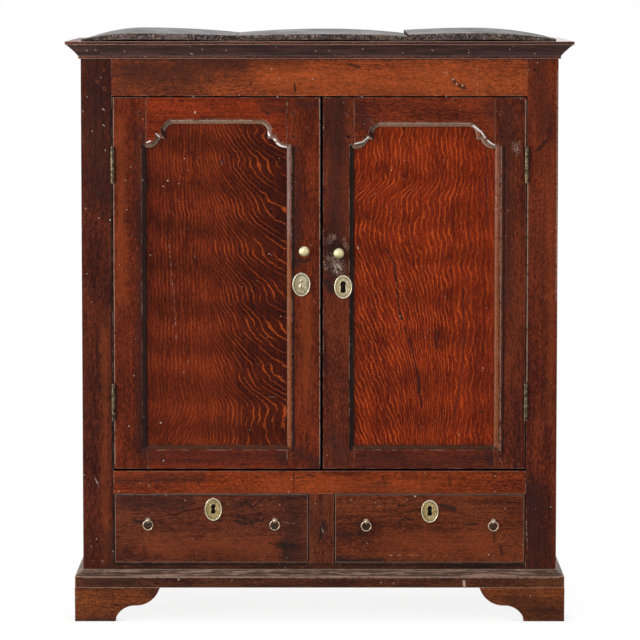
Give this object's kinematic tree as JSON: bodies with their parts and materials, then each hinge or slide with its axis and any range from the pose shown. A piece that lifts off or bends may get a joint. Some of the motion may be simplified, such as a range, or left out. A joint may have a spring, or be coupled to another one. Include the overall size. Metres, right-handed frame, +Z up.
{
  "type": "linen press",
  "caption": "Free-standing joined oak press: panelled doors with shaped heads over drawers, under a moulded cornice, on bracket feet. It holds folded linen.",
  "frame": {"origin": "on the floor, under the centre of the whole press", "axes": "+X to the right seen from the front, +Y from front to back, +Z up"},
  "size_m": [1.052, 0.501, 1.2335],
  "materials": {
    "oak_posts": "dark waxed oak",
    "oak_rails": "waxed oak, orange-brown",
    "oak_sides": "dark waxed oak",
    "secondary_wood": "unfinished old oak",
    "top_boards": "dry, grey-black oak",
    "mouldings": "dark waxed oak",
    "oak_feet": "waxed oak",
    "pegs": "dark oak end grain",
    "oak_doors": "dark waxed oak, red-brown",
    "left_panel": "quarter-sawn waxed oak",
    "right_panel": "quarter-sawn waxed oak",
    "oak_drawers": "dark waxed oak",
    "brass": "old, pale brass",
    "iron": "old wrought iron"
  },
  "bodies": {
    "carcase": {"left_front_post": "oak_posts", "right_front_post": "oak_posts", "rear_posts": "oak_posts", "frieze_rail": "oak_rails", "middle_rail": "oak_rails", "bottom_rail": "oak_rails", "drawer_divider": "oak_rails", "rear_rails": "secondary_wood", "side_rails": "oak_sides", "side_panels": "oak_sides", "back_boards": "secondary_wood", "cupboard_floor": "secondary_wood", "shelves": "secondary_wood", "shelf_bearers": "secondary_wood", "drawer_runners": "secondary_wood", "top_board_left": "top_boards", "top_board_centre": "top_boards", "top_board_right": "top_boards", "cornice": "mouldings", "base_moulding": "mouldings", "front_feet": "oak_feet", "rear_feet": "oak_feet", "frame_pegs": "pegs", "hinge_post_leaves": "iron"},
    "left_door": {"left_door_hanging_stile": "oak_doors", "left_door_meeting_stile": "oak_doors", "left_door_rails": "oak_doors", "left_door_panel": "left_panel", "left_door_pegs": "pegs", "left_door_hinge_leaves": "iron", "left_door_knob": "brass", "left_door_escutcheon": "brass", "left_door_bolt_plate": "iron"},
    "right_door": {"right_door_hanging_stile": "oak_doors", "right_door_meeting_stile": "oak_doors", "right_door_rails": "oak_doors", "right_door_panel": "right_panel", "right_door_pegs": "pegs", "right_door_hinge_leaves": "iron", "right_door_knob": "brass", "right_door_escutcheon": "brass", "right_door_lock": "iron"},
    "left_door_bolt": {"left_door_bolt": "iron"},
    "right_door_lock_bolt": {"right_door_lock_bolt": "iron"},
    "left_drawer": {"left_drawer_front": "oak_drawers", "left_drawer_box": "secondary_wood", "left_drawer_escutcheon": "brass", "left_drawer_ring_posts": "brass", "left_drawer_lock": "iron"},
    "left_drawer_lock_bolt": {"left_drawer_lock_bolt": "iron"},
    "left_drawer_outer_ring": {"left_drawer_outer_ring": "brass"},
    "left_drawer_inner_ring": {"left_drawer_inner_ring": "brass"},
    "right_drawer": {"right_drawer_front": "oak_drawers", "right_drawer_box": "secondary_wood", "right_drawer_escutcheon": "brass", "right_drawer_ring_posts": "brass", "right_drawer_lock": "iron"},
    "right_drawer_lock_bolt": {"right_drawer_lock_bolt": "iron"},
    "right_drawer_outer_ring": {"right_drawer_outer_ring": "brass"},
    "right_drawer_inner_ring": {"right_drawer_inner_ring": "brass"}
  },
  "joints": [
    {"name": "left_door_hinge", "type": "hinge", "parent": "carcase", "child": "left_door", "pos_m": [-0.43, -0.2239, 0.7075], "axis": [0, 0, -1], "range_deg": [0, 165]},
    {"name": "right_door_hinge", "type": "hinge", "parent": "carcase", "child": "right_door", "pos_m": [0.43, -0.2239, 0.7075], "axis": [0, 0, 1], "range_deg": [0, 165]},
    {"name": "left_door_bolt_slide", "type": "slide", "parent": "left_door", "child": "left_door_bolt", "axis": [0, 0, 1], "range_m": [0, 0.01]},
    {"name": "right_door_bolt_slide", "type": "slide", "parent": "right_door", "child": "right_door_lock_bolt", "axis": [-1, 0, 0], "range_m": [0, 0.013]},
    {"name": "left_drawer_slide", "type": "slide", "parent": "carcase", "child": "left_drawer", "axis": [0, -1, 0], "range_m": [0, 0.3]},
    {"name": "left_drawer_bolt_slide", "type": "slide", "parent": "left_drawer", "child": "left_drawer_lock_bolt", "axis": [0, 0, 1], "range_m": [0, 0.008]},
    {"name": "left_drawer_outer_ring_hinge", "type": "hinge", "parent": "left_drawer", "child": "left_drawer_outer_ring", "pos_m": [-0.359, -0.2275, 0.211], "axis": [-1, 0, 0], "range_deg": [-15, 195]},
    {"name": "left_drawer_inner_ring_hinge", "type": "hinge", "parent": "left_drawer", "child": "left_drawer_inner_ring", "pos_m": [-0.094, -0.2275, 0.211], "axis": [-1, 0, 0], "range_deg": [-15, 195]},
    {"name": "right_drawer_slide", "type": "slide", "parent": "carcase", "child": "right_drawer", "axis": [0, -1, 0], "range_m": [0, 0.3]},
    {"name": "right_drawer_bolt_slide", "type": "slide", "parent": "right_drawer", "child": "right_drawer_lock_bolt", "axis": [0, 0, 1], "range_m": [0, 0.008]},
    {"name": "right_drawer_outer_ring_hinge", "type": "hinge", "parent": "right_drawer", "child": "right_drawer_outer_ring", "pos_m": [0.3635, -0.2275, 0.209], "axis": [-1, 0, 0], "range_deg": [-15, 195]},
    {"name": "right_drawer_inner_ring_hinge", "type": "hinge", "parent": "right_drawer", "child": "right_drawer_inner_ring", "pos_m": [0.0975, -0.2275, 0.209], "axis": [-1, 0, 0], "range_deg": [-15, 195]}
  ]
}
